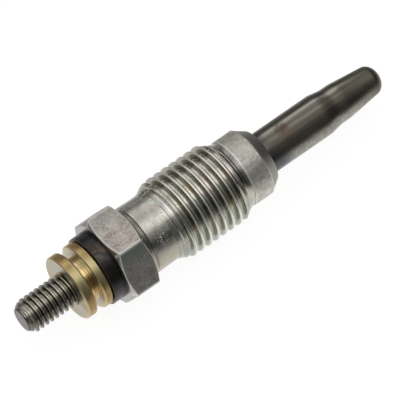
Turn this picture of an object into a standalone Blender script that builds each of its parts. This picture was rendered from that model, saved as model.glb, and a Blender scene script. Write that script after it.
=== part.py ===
"""Diesel glow plug: a sheathed heating rod pressed into a threaded steel shell, with a stud terminal.

The plug lies on one flat of its hexagon. World +X runs along its axis towards the hot tip and +Z is
up. The origin is under the middle of its length, on the surface that it lies on. Each piece is
turned about its own Z axis, whose height counts from the stud's free end towards the tip, and an
empty lays that axis along world +X.

The two threads are the feature that takes the most skill. Each is cut into its turned blank by a
helical groove that runs out at both ends, as on a lathe. The coils and the channel that they lie in
follow one helix.
"""

import math

import bmesh
import bpy
from mathutils import Matrix

# Terminal stud: a threaded end, a rod through the shell and a pin inside the heater tube
STUD_THREAD_DIAMETER = 0.00490
STUD_THREAD_PITCH = 0.00080
STUD_THREAD_OFFSET = -0.00004
STUD_LENGTH_EXPOSED = 0.00750
STUD_END_DIAMETER = 0.00330
STUD_END_CHAMFER = 0.00110
STUD_UNDERCUT_LENGTH = 0.00050
STUD_ROD_DIAMETER = 0.00380
STUD_PIN_REACH = 0.00760
STUD_SHOULDER = 0.00120

# Round nut: two flanges on one turned spool
NUT_FRONT_DIAMETER = 0.00946
NUT_FRONT_THICKNESS = 0.00150
NUT_WAIST_DIAMETER = 0.00600
NUT_WAIST_LENGTH = 0.00125
NUT_REAR_DIAMETER = 0.00956
NUT_REAR_THICKNESS = 0.00130
NUT_EDGE = 0.00018
NUT_COUNTERSINK = 0.00010

# Insulating washer, with a spigot that centres it in the shell
WASHER_DIAMETER = 0.01016
WASHER_THICKNESS = 0.00165
WASHER_EDGE = 0.00015
SPIGOT_LENGTH = 0.00100

# Double seal round the stud, beads on one ring
STUD_SEAL_BEADS = 2
STUD_SEAL_LENGTH = 0.00260
STUD_SEAL_GROOVE = 0.00035

# Shell
HEX_ACROSS_FLATS = 0.01200
HEX_LENGTH = 0.00480
HEX_EDGE_ROUND = 0.00018
HEX_FRONT_FACE_INSET = 0.00018
HEX_FRONT_CHAMFER_ANGLE = math.radians(40)
HEX_BACK_FACE_INSET = 0.00010
HEX_BACK_CHAMFER_ANGLE = math.radians(30)
NECK_DIAMETER = 0.00994
NECK_LENGTH = 0.00415
NECK_RING_DIAMETER = 0.01026
NECK_RING_LENGTH = 0.00060
NECK_RING_STEP = 0.00005
NECK_TAPER_LENGTH = 0.00200
THREAD_DIAMETER = 0.01184
THREAD_PITCH = 0.00125
THREAD_OFFSET = 0.00053
THREAD_LENGTH = 0.01255
THREAD_LEAD_LENGTH = 0.00210
THREAD_TAIL_LENGTH = 0.00185
RELIEF_DIAMETER = 0.00974
COLLAR_DIAMETER = 0.00994
COLLAR_LENGTH = 0.00342
COLLAR_EDGE_ROUND = 0.00040
CONE_LENGTH = 0.00140
CONE_END_DIAMETER = 0.00770
COUNTERBORE_DIAMETER = 0.00720
SHELL_BORE_DIAMETER = 0.00520

# Heater tube, closed at its tip
TUBE_DIAMETER = 0.00600
TUBE_WALL = 0.00060
TUBE_LENGTH_EXPOSED = 0.01977
TUBE_LENGTH_PRESSED = 0.00900
TUBE_TAPER_LENGTH = 0.00180
TUBE_TAPER_DIAMETER = 0.00536
TIP_LENGTH = 0.00800
TIP_PARALLEL_LENGTH = 0.00150
TIP_END_DIAMETER = 0.00422
TIP_DOME_LENGTH = 0.00160
TIP_WALL = 0.00130
TIP_FLOOR_ROUND = 0.00070

# What is inside the heater tube
TUBE_SEAL_LENGTH = 0.00200
POWDER_COVER = 0.00016
COIL_WIRE_DIAMETER = 0.00034
COIL_LAP = 0.00180
REGULATING_PITCH = 0.00145
HEATING_PITCH = 0.00130
HEATING_LENGTH = 0.00735
HEATING_LEAD = 0.00080

# Clearances: what is pressed or clamped together, and the seat of one piece on the next
FIT_GAP = 0.00005
SEAT_GAP = 0.00005

# Metric thread form, as shares of the pitch
THREAD_DEPTH = 0.6134
CREST_FLAT = 1 / 8
ROOT_FLAT = 1 / 4
GROOVE_OVERCUT = 1 / 12
FLANK_ANGLE = math.radians(30)

# Facets
SHELL_SIDES = 32
STUD_SIDES = 20
RING_SIDES = 32
HEX_EDGE_SEGMENTS = 2
ROUND_PROFILE = 0.5
WIRE_BEVEL_RESOLUTION = 2
WIRE_POINTS_PER_TURN = 8
ARC_STEPS = 4
SHARP_ANGLE = math.radians(28)
MERGE_DISTANCE = 0.000001
CUT_MARGIN = 0.00100

# Heights along the axis, from the stud's free end
NUT_HEIGHT = STUD_LENGTH_EXPOSED
NUT_LENGTH = NUT_FRONT_THICKNESS + NUT_WAIST_LENGTH + NUT_REAR_THICKNESS
WASHER_HEIGHT = NUT_HEIGHT + NUT_LENGTH + SEAT_GAP
SHELL_HEIGHT = WASHER_HEIGHT + WASHER_THICKNESS + SEAT_GAP
HEX_END = SHELL_HEIGHT + HEX_LENGTH
THREAD_START = HEX_END + NECK_LENGTH
THREAD_END = THREAD_START + THREAD_LENGTH
COLLAR_END = THREAD_END + COLLAR_LENGTH
SHELL_END = COLLAR_END + CONE_LENGTH
TIP_HEIGHT = SHELL_END + TUBE_LENGTH_EXPOSED
TUBE_MOUTH = SHELL_END - TUBE_LENGTH_PRESSED
STUD_SEAL_HEIGHT = SHELL_HEIGHT + SPIGOT_LENGTH + SEAT_GAP
COUNTERBORE_END = STUD_SEAL_HEIGHT + STUD_SEAL_LENGTH + SEAT_GAP
PIN_START = TUBE_MOUTH - STUD_SHOULDER
PIN_END = TUBE_MOUTH + STUD_PIN_REACH
LAP_START = PIN_END - COIL_LAP
POWDER_START = TUBE_MOUTH + TUBE_SEAL_LENGTH + SEAT_GAP
TIP_START = TIP_HEIGHT - TIP_LENGTH
TAPER_START = TIP_START - TUBE_TAPER_LENGTH
TUBE_FLOOR = TIP_HEIGHT - TIP_WALL
HEATING_END = TUBE_FLOOR - HEATING_LEAD
HEATING_START = HEATING_END - HEATING_LENGTH

# Radii that more than one piece uses
TUBE_RADIUS = TUBE_DIAMETER / 2
TUBE_BORE = TUBE_RADIUS - TUBE_WALL
ROD_RADIUS = STUD_ROD_DIAMETER / 2
STUD_ROOT = STUD_THREAD_DIAMETER / 2 - THREAD_DEPTH * STUD_THREAD_PITCH
COUNTERBORE = COUNTERBORE_DIAMETER / 2
WIRE_RADIUS = COIL_WIRE_DIAMETER / 2
CHANNEL_RADIUS = WIRE_RADIUS + FIT_GAP
COIL_RADIUS = TIP_END_DIAMETER / 2 - TUBE_WALL - FIT_GAP - POWDER_COVER - CHANNEL_RADIUS
PIN_RADIUS = COIL_RADIUS - CHANNEL_RADIUS

# Colour, roughness and metallic value of each piece
FINISHES = {
    "plug_shell": ((0.62, 0.61, 0.57), 0.32, 1.0),
    "terminal_stud": ((0.30, 0.27, 0.24), 0.35, 1.0),
    "round_nut": ((0.72, 0.55, 0.27), 0.28, 1.0),
    "insulating_washer": ((0.035, 0.032, 0.034), 0.45, 0.0),
    "stud_seal": ((0.05, 0.05, 0.05), 0.75, 0.0),
    "tube_seal": ((0.22, 0.07, 0.04), 0.75, 0.0),
    "heater_tube": ((0.26, 0.23, 0.20), 0.38, 1.0),
    "regulating_coil": ((0.55, 0.54, 0.50), 0.35, 1.0),
    "heating_coil": ((0.42, 0.36, 0.31), 0.40, 1.0),
    "insulating_powder": ((0.82, 0.81, 0.77), 0.90, 0.0),
}


def clear_scene():
    """Remove the objects that a new Blender file starts with."""
    for obj in list(bpy.data.objects):
        bpy.data.objects.remove(obj, do_unlink=True)


def collection(name):
    """A new collection in the scene."""
    group = bpy.data.collections.new(name)
    bpy.context.scene.collection.children.link(group)
    return group


def arc(centre, size, start, end):
    """Points of a round stretch of an outline, between two angles in degrees, 0 pointing outwards.

    centre is (radius, height) and size the two half-axes, along radius and along height.
    """
    angles = [math.radians(start + (end - start) * step / ARC_STEPS) for step in range(ARC_STEPS + 1)]
    return [(centre[0] + size[0] * math.cos(a), centre[1] + size[1] * math.sin(a)) for a in angles]


def turned(name, outline, sides, group):
    """A piece turned about Z from an outline of (radius, height) points.

    The outline runs up the outer side. A solid piece starts and ends on the axis, and a ring comes
    back down its bore. The Screw modifier takes the points from top to bottom, so they are reversed.
    """
    points = [(radius, 0.0, height) for radius, height in reversed(outline)]
    edges = [(i, i + 1) for i in range(len(points) - 1)]
    if outline[0][0] > 0.0:
        edges.append((len(points) - 1, 0))
    mesh = bpy.data.meshes.new(name)
    mesh.from_pydata(points, edges, [])
    obj = bpy.data.objects.new(name, mesh)
    group.objects.link(obj)
    screw = obj.modifiers.new("turn", "SCREW")
    screw.steps = sides
    screw.render_steps = sides
    screw.use_merge_vertices = True
    screw.merge_threshold = MERGE_DISTANCE
    return obj


def settled_mesh(obj, name):
    """The mesh of an object with its curve bevel or modifiers worked out, and its ends welded."""
    bpy.context.view_layer.update()
    evaluated = obj.evaluated_get(bpy.context.evaluated_depsgraph_get())
    mesh = bpy.data.meshes.new_from_object(evaluated)
    mesh.name = name
    shape = bmesh.new()
    shape.from_mesh(mesh)
    bmesh.ops.remove_doubles(shape, verts=shape.verts, dist=MERGE_DISTANCE)
    open_edges = [edge for edge in shape.edges if edge.is_boundary]
    bmesh.ops.holes_fill(shape, edges=open_edges)
    bmesh.ops.recalc_face_normals(shape, faces=shape.faces)
    shape.to_mesh(mesh)
    shape.free()
    return mesh


def helical_groove(name, crest, pitch, low, high, sides, group):
    """Cutter for a thread: the groove's section carried along a helix from low to high.

    The section is the space between two flanks, from the root flat out to just past the crest, so
    each turn stays clear of the next.
    """
    root = crest - THREAD_DEPTH * pitch
    outer = crest + GROOVE_OVERCUT * pitch
    half_root = ROOT_FLAT * pitch / 2
    half_mouth = (1 - CREST_FLAT) * pitch / 2 + GROOVE_OVERCUT * pitch * math.tan(FLANK_ANGLE)
    section = [(outer, half_mouth), (outer, -half_mouth), (root, -half_root), (root, half_root)]
    mesh = bpy.data.meshes.new(name)
    mesh.from_pydata([(r, 0.0, low + h) for r, h in section], [(0, 1), (1, 2), (2, 3), (3, 0)], [])
    guide = bpy.data.objects.new(name + "_section", mesh)
    group.objects.link(guide)
    screw = guide.modifiers.new("helix", "SCREW")
    screw.steps = sides
    screw.render_steps = sides
    screw.screw_offset = pitch
    screw.iterations = math.ceil((high - low) / pitch)
    screw.use_merge_vertices = True
    screw.merge_threshold = MERGE_DISTANCE
    groove = bpy.data.objects.new(name, settled_mesh(guide, name))
    group.objects.link(groove)
    bpy.data.objects.remove(guide, do_unlink=True)
    return groove


def wire(name, path, radius, group):
    """A round wire along a path of points, with closed ends."""
    curve = bpy.data.curves.new(name, "CURVE")
    curve.dimensions = "3D"
    curve.bevel_depth = radius
    curve.bevel_resolution = WIRE_BEVEL_RESOLUTION
    curve.use_fill_caps = True
    spline = curve.splines.new("POLY")
    spline.points.add(len(path) - 1)
    for point, place in zip(spline.points, path):
        point.co = (*place, 1.0)
    obj = bpy.data.objects.new(name, curve)
    group.objects.link(obj)
    return obj


def wire_mesh(name, path, radius, group):
    """The same wire as a mesh, which a Boolean can use."""
    guide = wire(name + "_guide", path, radius, group)
    obj = bpy.data.objects.new(name, settled_mesh(guide, name))
    obj.matrix_world = guide.matrix_world
    group.objects.link(obj)
    bpy.data.objects.remove(guide, do_unlink=True)
    return obj


def helix(low, high, pitch, start_turn):
    """Points along a coil from one height to another, and the turn that it ends on."""
    turns = (high - low) / pitch
    steps = max(2, round(turns * WIRE_POINTS_PER_TURN))
    path = []
    for step in range(steps + 1):
        share = step / steps
        angle = 2 * math.pi * (start_turn + turns * share)
        height = low + (high - low) * share
        path.append((COIL_RADIUS * math.cos(angle), COIL_RADIUS * math.sin(angle), height))
    return path, start_turn + turns


def lead(start_turn, end):
    """Points that bring the heating coil's end in to the axis over half a turn, then on to end."""
    steps = WIRE_POINTS_PER_TURN // 2
    path = []
    for step in range(1, steps + 1):
        share = step / steps
        angle = math.pi * (2 * start_turn + share)
        reach = COIL_RADIUS * (1 - share)
        height = HEATING_END + HEATING_LEAD / 2 * share
        path.append((reach * math.cos(angle), reach * math.sin(angle), height))
    path.append((0.0, 0.0, end))
    return path


def coil_paths(end):
    """Centrelines of the regulating coil and of the heating coil that carries on from it to end."""
    regulating, turn = helix(LAP_START, HEATING_START - SEAT_GAP, REGULATING_PITCH, 0.0)
    turn += SEAT_GAP / HEATING_PITCH
    heating, turn = helix(HEATING_START, HEATING_END, HEATING_PITCH, turn)
    return regulating, heating + lead(turn, end)


def boolean(obj, cutter, operation):
    """Join, cut or trim a piece with a hidden shape that sits in the cutters' collection."""
    modifier = obj.modifiers.new(cutter.name, "BOOLEAN")
    modifier.operation = operation
    modifier.solver = "EXACT"
    modifier.object = cutter


def hex_bar(name, across_flats, low, high, group):
    """Six-sided bar along Z with its flats facing X and slightly rounded corners."""
    mesh = bpy.data.meshes.new(name)
    bar = bmesh.new()
    corner = across_flats / 2 / math.cos(math.pi / 6)
    place = Matrix.Translation((0.0, 0.0, (low + high) / 2))
    bmesh.ops.create_cone(
        bar, cap_ends=True, segments=6, radius1=corner, radius2=corner, depth=high - low, matrix=place
    )
    corners = [edge for edge in bar.edges if abs((edge.verts[0].co - edge.verts[1].co).z) > MERGE_DISTANCE]
    bmesh.ops.bevel(
        bar,
        geom=corners,
        offset=HEX_EDGE_ROUND,
        offset_type="OFFSET",
        segments=HEX_EDGE_SEGMENTS,
        profile=ROUND_PROFILE,
        affect="EDGES",
    )
    bar.to_mesh(mesh)
    bar.free()
    obj = bpy.data.objects.new(name, mesh)
    group.objects.link(obj)
    return obj


def hex_chamfers(group):
    """Turned blank whose sloped ends trim the hexagon, from round faces a little inside the flats."""
    corner = HEX_ACROSS_FLATS / 2 / math.cos(math.pi / 6) + CUT_MARGIN
    front = HEX_ACROSS_FLATS / 2 - HEX_FRONT_FACE_INSET
    back = HEX_ACROSS_FLATS / 2 - HEX_BACK_FACE_INSET
    front_depth = (corner - front) * math.tan(HEX_FRONT_CHAMFER_ANGLE)
    back_depth = (corner - back) * math.tan(HEX_BACK_CHAMFER_ANGLE)
    outline = [
        (0.0, SHELL_HEIGHT),
        (front, SHELL_HEIGHT),
        (corner, SHELL_HEIGHT + front_depth),
        (corner, HEX_END - back_depth),
        (back, HEX_END),
        (0.0, HEX_END),
    ]
    return turned("hex_chamfers", outline, SHELL_SIDES, group)


def shell_body(group):
    """Turned front of the shell: neck, thread blank, collar and sealing cone."""
    neck = NECK_DIAMETER / 2
    crest = THREAD_DIAMETER / 2
    collar = COLLAR_DIAMETER / 2
    ring = NECK_RING_DIAMETER / 2
    ring_end = HEX_END + NECK_RING_LENGTH
    relief = RELIEF_DIAMETER / 2
    round_over = COLLAR_EDGE_ROUND
    outline = [
        (0.0, HEX_END - HEX_LENGTH / 2),
        (ring, HEX_END - HEX_LENGTH / 2),
        (ring, ring_end),
        (ring - NECK_RING_STEP, ring_end + NECK_RING_STEP),
        (neck, ring_end + NECK_TAPER_LENGTH),
        (neck, THREAD_START),
        (crest, THREAD_START + THREAD_LEAD_LENGTH),
        (crest, THREAD_END - THREAD_TAIL_LENGTH),
        (relief, THREAD_END),
        (collar, THREAD_END + collar - relief),
        *arc((collar - round_over, COLLAR_END - round_over), (round_over, round_over), 0, 60),
        (CONE_END_DIAMETER / 2, SHELL_END),
        (0.0, SHELL_END),
    ]
    return turned("shell_body", outline, SHELL_SIDES, group)


def shell_bore(group):
    """Everything that is bored out of the shell, as one stepped turned shape."""
    seat = TUBE_RADIUS + FIT_GAP
    outline = [
        (0.0, SHELL_HEIGHT - CUT_MARGIN),
        (COUNTERBORE, SHELL_HEIGHT - CUT_MARGIN),
        (COUNTERBORE, COUNTERBORE_END),
        (SHELL_BORE_DIAMETER / 2, COUNTERBORE_END),
        (SHELL_BORE_DIAMETER / 2, TUBE_MOUTH - SEAT_GAP),
        (seat, TUBE_MOUTH - SEAT_GAP),
        (seat, SHELL_END + CUT_MARGIN),
        (0.0, SHELL_END + CUT_MARGIN),
    ]
    return turned("shell_bore", outline, SHELL_SIDES, group)


def plug_shell(parts, cutters):
    """Hexagon, neck, thread, collar and cone in one piece, bored from both ends."""
    shell = hex_bar("plug_shell", HEX_ACROSS_FLATS, SHELL_HEIGHT, HEX_END, parts)
    boolean(shell, hex_chamfers(cutters), "INTERSECT")
    boolean(shell, shell_body(cutters), "UNION")
    low = THREAD_START - THREAD_PITCH + THREAD_OFFSET
    high = THREAD_END + THREAD_PITCH + THREAD_OFFSET
    groove = helical_groove(
        "shell_thread_groove", THREAD_DIAMETER / 2, THREAD_PITCH, low, high, SHELL_SIDES, cutters
    )
    boolean(shell, groove, "DIFFERENCE")
    boolean(shell, shell_bore(cutters), "DIFFERENCE")
    return shell


def terminal_stud(parts, cutters):
    """Threaded terminal, the rod through the shell and the pin that the coil is welded to."""
    crest = STUD_THREAD_DIAMETER / 2
    thread_end = STUD_LENGTH_EXPOSED - STUD_UNDERCUT_LENGTH
    outline = [
        (0.0, 0.0),
        (STUD_END_DIAMETER / 2, 0.0),
        (crest, STUD_END_CHAMFER),
        (crest, thread_end),
        (STUD_ROOT, thread_end),
        (STUD_ROOT, NUT_HEIGHT + NUT_LENGTH),
        (ROD_RADIUS, NUT_HEIGHT + NUT_LENGTH),
        (ROD_RADIUS, PIN_START - (ROD_RADIUS - PIN_RADIUS)),
        (PIN_RADIUS, PIN_START),
        (PIN_RADIUS, PIN_END),
        (0.0, PIN_END),
    ]
    stud = turned("terminal_stud", outline, STUD_SIDES, parts)
    groove = helical_groove(
        "stud_thread_groove",
        crest,
        STUD_THREAD_PITCH,
        STUD_THREAD_OFFSET - STUD_THREAD_PITCH,
        thread_end,
        STUD_SIDES,
        cutters,
    )
    boolean(stud, groove, "DIFFERENCE")
    return stud


def flange(radius, low, high, edge):
    """Outline of a disc's rim with both corners broken."""
    return [(radius - edge, low), (radius, low + edge), (radius, high - edge), (radius - edge, high)]


def round_nut(parts):
    """Brass spool with a flange at each end, countersunk where the stud's thread comes out of it."""
    waist_start = NUT_HEIGHT + NUT_FRONT_THICKNESS
    waist_end = waist_start + NUT_WAIST_LENGTH
    bore = STUD_ROOT + FIT_GAP
    countersink = STUD_THREAD_DIAMETER / 2 + NUT_COUNTERSINK
    outline = [
        (bore, NUT_HEIGHT + countersink - bore),
        (countersink, NUT_HEIGHT),
        *flange(NUT_FRONT_DIAMETER / 2, NUT_HEIGHT, waist_start, NUT_EDGE),
        (NUT_WAIST_DIAMETER / 2, waist_start),
        (NUT_WAIST_DIAMETER / 2, waist_end),
        *flange(NUT_REAR_DIAMETER / 2, waist_end, NUT_HEIGHT + NUT_LENGTH, NUT_EDGE),
        (bore, NUT_HEIGHT + NUT_LENGTH),
    ]
    return turned("round_nut", outline, RING_SIDES, parts)


def insulating_washer(parts):
    """Black washer between the nut and the shell, with its spigot in the counterbore."""
    bore = ROD_RADIUS + FIT_GAP
    seat = WASHER_HEIGHT + WASHER_THICKNESS
    outline = [
        (bore, WASHER_HEIGHT),
        *flange(WASHER_DIAMETER / 2, WASHER_HEIGHT, seat, WASHER_EDGE),
        (COUNTERBORE - FIT_GAP, seat),
        (COUNTERBORE - FIT_GAP, SHELL_HEIGHT + SPIGOT_LENGTH),
        (bore, SHELL_HEIGHT + SPIGOT_LENGTH),
    ]
    return turned("insulating_washer", outline, RING_SIDES, parts)


def stud_seal(parts):
    """Double seal under the washer: round beads that press on the shell and hold the rod."""
    outer = COUNTERBORE - FIT_GAP
    bore = ROD_RADIUS + FIT_GAP
    bead = STUD_SEAL_LENGTH / STUD_SEAL_BEADS / 2
    outline = [(bore, STUD_SEAL_HEIGHT)]
    for number in range(STUD_SEAL_BEADS):
        middle = (outer - STUD_SEAL_GROOVE, STUD_SEAL_HEIGHT + bead * (1 + 2 * number))
        outline += arc(middle, (STUD_SEAL_GROOVE, bead), -90, 90)[min(number, 1):]
    outline.append((bore, STUD_SEAL_HEIGHT + STUD_SEAL_LENGTH))
    return turned("stud_seal", outline, RING_SIDES, parts)


def nose(inset, end, dome):
    """Outline of the tube's swaged nose, moved in by inset, up to the axis at the height end."""
    tip = TIP_END_DIAMETER / 2 - inset
    taper = TUBE_TAPER_DIAMETER / 2 - inset
    return [
        (TUBE_RADIUS - inset, TAPER_START),
        (taper, TIP_START),
        (taper, TIP_START + TIP_PARALLEL_LENGTH),
        *arc((0.0, end - dome), (tip, dome), 0, 90)[:-1],
        (0.0, end),
    ]


def heater_tube(parts):
    """Drawn metal tube with a swaged nose and a closed round tip, open where the pin goes in."""
    outline = [
        *reversed(nose(TUBE_WALL, TUBE_FLOOR, TIP_FLOOR_ROUND)),
        (TUBE_BORE, TUBE_MOUTH),
        (TUBE_RADIUS, TUBE_MOUTH),
        *nose(0.0, TIP_HEIGHT, TIP_DOME_LENGTH),
    ]
    return turned("heater_tube", outline, RING_SIDES, parts)


def tube_seal(parts):
    """Elastomer bush that closes the tube's mouth round the pin."""
    bore = PIN_RADIUS + FIT_GAP
    outer = TUBE_BORE - FIT_GAP
    outline = [
        (bore, TUBE_MOUTH),
        (outer, TUBE_MOUTH),
        (outer, TUBE_MOUTH + TUBE_SEAL_LENGTH),
        (bore, TUBE_MOUTH + TUBE_SEAL_LENGTH),
    ]
    return turned("tube_seal", outline, RING_SIDES, parts)


def insulating_powder(parts, cutters):
    """Compacted powder that fills the tube, with the space that the pin and the coils take up."""
    outline = [
        (0.0, POWDER_START),
        (TUBE_BORE - FIT_GAP, POWDER_START),
        *nose(TUBE_WALL + FIT_GAP, TUBE_FLOOR - SEAT_GAP, TIP_FLOOR_ROUND),
    ]
    powder = turned("insulating_powder", outline, RING_SIDES, parts)
    lap = COIL_RADIUS + CHANNEL_RADIUS + FIT_GAP
    pin = PIN_RADIUS + FIT_GAP
    pin_space = [
        (0.0, POWDER_START - CUT_MARGIN),
        (pin, POWDER_START - CUT_MARGIN),
        (pin, LAP_START - CHANNEL_RADIUS),
        (lap, LAP_START - CHANNEL_RADIUS),
        (lap, PIN_END + SEAT_GAP),
        (0.0, PIN_END + SEAT_GAP),
    ]
    boolean(powder, turned("pin_space", pin_space, STUD_SIDES, cutters), "DIFFERENCE")
    regulating, heating = coil_paths(TUBE_FLOOR)
    channel = wire_mesh("coil_channel", regulating + heating, CHANNEL_RADIUS, cutters)
    boolean(powder, channel, "DIFFERENCE")
    return powder


def coils(parts):
    """Regulating coil on the pin's end and heating coil on to the tip, wound on one helix."""
    regulating, heating = coil_paths(TUBE_FLOOR - SEAT_GAP)
    return [
        wire("regulating_coil", regulating, WIRE_RADIUS, parts),
        wire("heating_coil", heating, WIRE_RADIUS, parts),
    ]


def smooth_by_angle():
    """Geometry nodes that shade a piece smooth and keep the edges sharper than SHARP_ANGLE."""
    group = bpy.data.node_groups.new("smooth_by_angle", "GeometryNodeTree")
    group.interface.new_socket("Geometry", in_out="INPUT", socket_type="NodeSocketGeometry")
    group.interface.new_socket("Geometry", in_out="OUTPUT", socket_type="NodeSocketGeometry")
    piece = group.nodes.new("NodeGroupInput")
    angle = group.nodes.new("GeometryNodeInputMeshEdgeAngle")
    sharper = group.nodes.new("FunctionNodeCompare")
    sharper.inputs[1].default_value = SHARP_ANGLE
    smooth = group.nodes.new("GeometryNodeSetShadeSmooth")
    crease = group.nodes.new("GeometryNodeSetShadeSmooth")
    crease.domain = "EDGE"
    crease.inputs["Shade Smooth"].default_value = False
    shaded = group.nodes.new("NodeGroupOutput")
    group.links.new(piece.outputs[0], smooth.inputs["Geometry"])
    group.links.new(smooth.outputs[0], crease.inputs["Geometry"])
    group.links.new(angle.outputs["Unsigned Angle"], sharper.inputs[0])
    group.links.new(sharper.outputs[0], crease.inputs["Selection"])
    group.links.new(crease.outputs[0], shaded.inputs[0])
    return group


def finish(obj):
    """Give a piece its own material from its colour, roughness and metallic value."""
    colour, roughness, metallic = FINISHES[obj.name]
    material = bpy.data.materials.new(obj.name)
    material.use_nodes = True
    shader = material.node_tree.nodes["Principled BSDF"]
    shader.inputs["Base Color"].default_value = (*colour, 1.0)
    shader.inputs["Roughness"].default_value = roughness
    shader.inputs["Metallic"].default_value = metallic
    obj.data.materials.append(material)


def main():
    """Build the pieces, lay them on a flat of the hexagon and give each its finish."""
    clear_scene()
    parts = collection("glow_plug")
    cutters = collection("cutters")
    pieces = [
        terminal_stud(parts, cutters),
        round_nut(parts),
        insulating_washer(parts),
        stud_seal(parts),
        plug_shell(parts, cutters),
        heater_tube(parts),
        tube_seal(parts),
        insulating_powder(parts, cutters),
        *coils(parts),
    ]
    shading = smooth_by_angle()
    for piece in pieces:
        finish(piece)
        if piece.type == "MESH":
            piece.modifiers.new("shading", "NODES").node_group = shading
    axis = bpy.data.objects.new("plug_axis", None)
    axis.location = (-TIP_HEIGHT / 2, 0.0, HEX_ACROSS_FLATS / 2)
    axis.rotation_euler = (0.0, math.pi / 2, 0.0)
    for cutter in cutters.objects:
        cutter.hide_render = True
        cutter.display_type = "WIRE"
        cutter.parent = axis
    for piece in pieces:
        piece.parent = axis
    parts.objects.link(axis)


main()
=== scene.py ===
"""Looks of a diesel glow plug: fine surfaces over its solids, their finishes, the light and the camera.

World +X runs along the plug's axis towards the hot tip and +Z is up. The plug lies on one flat of its
hexagon. Each surface is a grid with rows along an outline and columns round the plug's axis, and the
angles of its columns count from the top.
"""

import math

import bpy
import numpy as np
from mathutils import Matrix, Vector


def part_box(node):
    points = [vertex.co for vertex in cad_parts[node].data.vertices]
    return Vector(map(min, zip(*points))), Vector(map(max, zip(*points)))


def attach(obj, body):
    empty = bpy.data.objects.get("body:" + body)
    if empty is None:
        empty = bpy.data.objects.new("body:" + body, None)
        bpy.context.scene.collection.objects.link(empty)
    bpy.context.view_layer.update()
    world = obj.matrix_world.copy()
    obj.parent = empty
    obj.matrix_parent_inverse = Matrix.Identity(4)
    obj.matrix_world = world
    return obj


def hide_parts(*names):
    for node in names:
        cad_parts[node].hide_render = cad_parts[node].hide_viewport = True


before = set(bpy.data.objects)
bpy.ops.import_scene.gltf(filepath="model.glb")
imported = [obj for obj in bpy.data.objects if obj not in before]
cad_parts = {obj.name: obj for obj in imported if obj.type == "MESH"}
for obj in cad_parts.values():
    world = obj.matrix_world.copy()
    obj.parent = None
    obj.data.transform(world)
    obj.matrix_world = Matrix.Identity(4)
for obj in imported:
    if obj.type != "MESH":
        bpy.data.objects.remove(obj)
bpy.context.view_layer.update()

# Clearance between pieces that touch
GAP = 0.00005

# Places along the axis, from the solids
STUD_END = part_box("terminal_stud")[0].x
PIN_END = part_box("terminal_stud")[1].x
NUT_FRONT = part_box("round_nut")[0].x
NUT_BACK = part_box("round_nut")[1].x
WASHER_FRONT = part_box("insulating_washer")[0].x
SPIGOT_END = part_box("insulating_washer")[1].x
HEX_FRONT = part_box("plug_shell")[0].x
SHELL_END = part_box("plug_shell")[1].x
TUBE_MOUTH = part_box("heater_tube")[0].x
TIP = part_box("heater_tube")[1].x
SEAL_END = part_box("stud_seal")[1].x
TUBE_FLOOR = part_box("insulating_powder")[1].x + GAP
AXIS = (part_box("plug_shell")[0].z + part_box("plug_shell")[1].z) / 2

# Terminal stud
STUD_CREST = 0.00245
STUD_PITCH = 0.00080
STUD_THREAD_START = 0.00024
STUD_THREAD_OFFSET = 0.00004
STUD_SEAM_DEPTH = 0.000032
STUD_END_RADIUS = 0.00165
STUD_END_ROUND = 0.00015
STUD_END_LENGTH = 0.00020
STUD_END_RISE = 0.00014
STUD_CHAMFER = 0.00110
STUD_ENTRY = 0.00010
ROD_RADIUS = 0.00190
PIN_RADIUS = 0.00092
SHOULDER = 0.00120

# Round nut
NUT_FLANGE = 0.00473
NUT_REAR_FLANGE = 0.00478
NUT_WAIST = 0.00318
NUT_FRONT_THICKNESS = 0.00150
NUT_REAR_THICKNESS = 0.00130
NUT_COUNTERSINK = 0.00255
NUT_COUNTERSINK_ROUND = 0.00004
NUT_EDGE = 0.00018
NUT_EDGE_ROUND = 0.00006
NUT_FILLET = 0.00010
NUT_FILLET_ROUND = 0.00008
TOOL_LINE = 0.00092
TOOL_LINE_WIDTH = 0.00004
TOOL_LINE_DEPTH = 0.00003
TOOL_LINE_ROUND = 0.00002

# Insulating washer
WASHER_RADIUS = 0.00508
WASHER_EDGE = 0.00008
SPIGOT_RADIUS = 0.00355

# Shell: hexagon
HALF_WIDTH = 0.00600
HEX_LENGTH = 0.00480
HEX_EDGE = 0.00020
HEX_SLOPE = math.tan(math.radians(30))
HEX_FRONT_RADIUS = 0.00596
HEX_FRONT_ROUND = 0.00008
HEX_BACK_RADIUS = 0.00590
HEX_BACK_ROUND = 0.00005
HEX_BACK_EDGE = 0.00003
BOSS_RADIUS = 0.00495
BOSS_HEIGHT = 0.00018
BOSS_ROUND = 0.00003

# Shell: neck and the stepped band at its foot
NECK_LENGTH = 0.00415
NECK_START_RADIUS = 0.00504
NECK_START_ROUND = 0.00005
NECK_RADIUS = 0.00497
NECK_TAPER_LENGTH = 0.00200
NECK_TAPER_ROUND = 0.00030
FOOT_RADIUS = 0.00484
FOOT_RISE = 0.00030
FOOT_BAND = 0.00042
FOOT_BAND_ROUND = 0.00002
FOOT_FLAT = 0.00008
FOOT_ROUND = 0.00003
FOOT_END = 0.00098

# Shell: thread, with the share of its tail's length that is left and the height over the relief there
CREST = 0.00592
PITCH = 0.00125
THREAD_OFFSET = 0.00058
THREAD_LENGTH = 0.01278
SEAM_DEPTH = 0.000020
LEAD_LENGTH = 0.00210
LEAD_START = 0.00055
LEAD_START_RADIUS = 0.00513
TAIL_LENGTH = 0.00208
TAIL_CURVE = [(0.55, 0.00034), (0.24, 0.00010), (0, 0)]
RELIEF_RADIUS = 0.00487
RELIEF_LENGTH = 0.00100

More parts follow.
